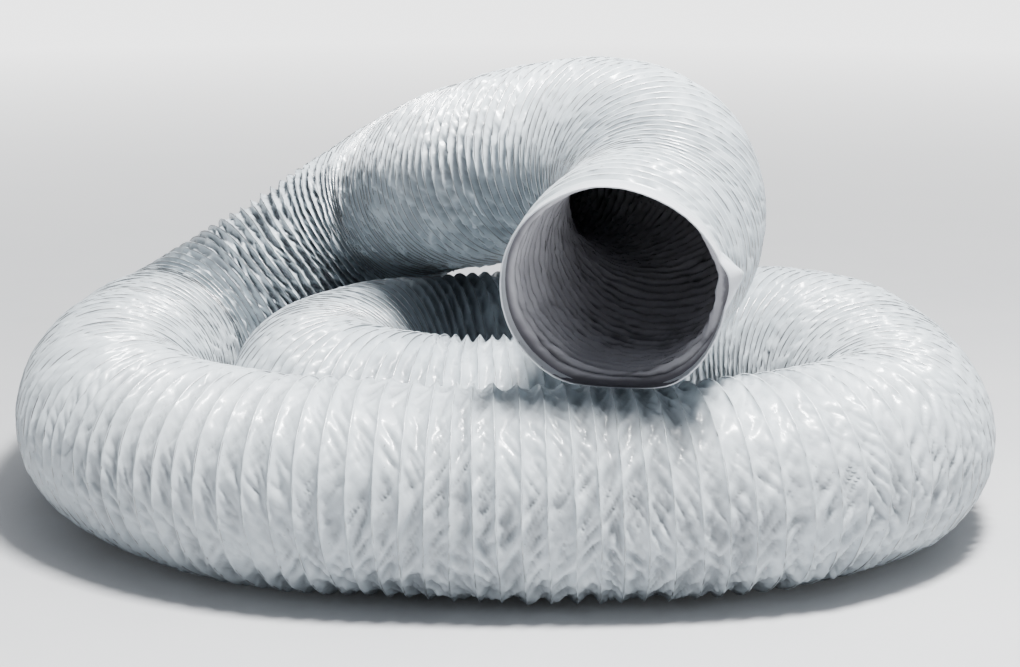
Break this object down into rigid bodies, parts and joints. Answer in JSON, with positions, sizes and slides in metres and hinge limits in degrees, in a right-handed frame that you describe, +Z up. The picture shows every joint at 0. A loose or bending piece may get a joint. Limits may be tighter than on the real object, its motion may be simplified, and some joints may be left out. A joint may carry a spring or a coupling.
{
  "type": "flexible air duct",
  "caption": "Flexible ventilation duct of coated fabric over a spring-wire helix, lying in a loose coil with its open mouth resting on top.",
  "frame": {"origin": "on the floor, under the middle of the coiled duct", "axes": "+Z up; +X along the front run of the coil, from its left bend to its right bend; -Y towards the side that the open mouth faces"},
  "size_m": [1.5784, 1.395, 0.7267],
  "materials": {
    "coated_cover": "glossy PVC coating over woven polyester, creased",
    "liner": "semi-matt coated inner ply, dusty",
    "spring_wire": "bright spring steel",
    "hem_fabric": "glossy PVC coated hem tape"
  },
  "bodies": {
    "coil": {"cover_back_bend": "coated_cover", "cover_back_run": "coated_cover", "cover_front_left": "coated_cover", "cover_front_run": "coated_cover", "cover_left_bend": "coated_cover", "cover_right_bend": "coated_cover", "cover_tight_turn": "coated_cover", "liner_coil": "liner", "wire_coil": "spring_wire"},
    "upper_loop": {"cover_descent_bend": "coated_cover", "cover_rise": "coated_cover", "liner_descent_bend": "liner", "liner_rise": "liner", "wire_descent_bend": "spring_wire", "wire_rise": "spring_wire"},
    "neck": {"cover_neck": "coated_cover", "cover_top_bend": "coated_cover", "liner_neck": "liner", "liner_top_bend": "liner", "wire_neck": "spring_wire", "wire_top_bend": "spring_wire"},
    "collar": {"cover_collar": "coated_cover", "cover_lift_bend": "coated_cover", "liner_collar": "liner", "liner_lift_bend": "liner", "wire_collar": "spring_wire", "wire_lift_bend": "spring_wire"},
    "mouth": {"cover_mouth": "coated_cover", "cover_mouth_concertina": "coated_cover", "front_hem": "hem_fabric", "liner_mouth": "liner", "liner_mouth_concertina": "liner", "wire_mouth": "spring_wire", "wire_mouth_concertina": "spring_wire"},
    "tail": {"cover_tail": "coated_cover", "cover_tail_concertina": "coated_cover", "liner_tail": "liner", "liner_tail_concertina": "liner", "rear_hem": "hem_fabric", "wire_tail": "spring_wire", "wire_tail_concertina": "spring_wire"}
  },
  "joints": [
    {"name": "loop_lift", "type": "hinge", "parent": "coil", "child": "upper_loop", "pos_m": [-0.3985, 0.5325, 0.2656], "axis": [-0.7646, -0.6445, 0], "range_deg": [0, 20], "deforming": ["cover_descent_bend", "liner_descent_bend", "wire_descent_bend"]},
    {"name": "mouth_swing", "type": "hinge", "parent": "upper_loop", "child": "neck", "pos_m": [0.1763, -0.0599, 0.5714], "axis": [0, 0, 1], "range_deg": [-10, 10], "deforming": ["cover_top_bend", "liner_top_bend", "wire_top_bend"]},
    {"name": "mouth_lift", "type": "hinge", "parent": "neck", "child": "collar", "pos_m": [0.2441, -0.3277, 0.506], "axis": [-0.9867, 0.1623, 0], "range_deg": [0, 25], "deforming": ["cover_lift_bend", "liner_lift_bend", "wire_lift_bend"]},
    {"name": "mouth_extend", "type": "slide", "parent": "collar", "child": "mouth", "axis": [-0.2707, -0.9524, -0.1404], "range_m": [-0.06, 0.08], "deforming": ["cover_mouth_concertina", "liner_mouth_concertina", "wire_mouth_concertina"]},
    {"name": "tail_extend", "type": "slide", "parent": "coil", "child": "tail", "axis": [0.9897, 0.1432, 0], "range_m": [-0.08, 0.1], "deforming": ["cover_tail_concertina", "liner_tail_concertina", "wire_tail_concertina"]}
  ]
}
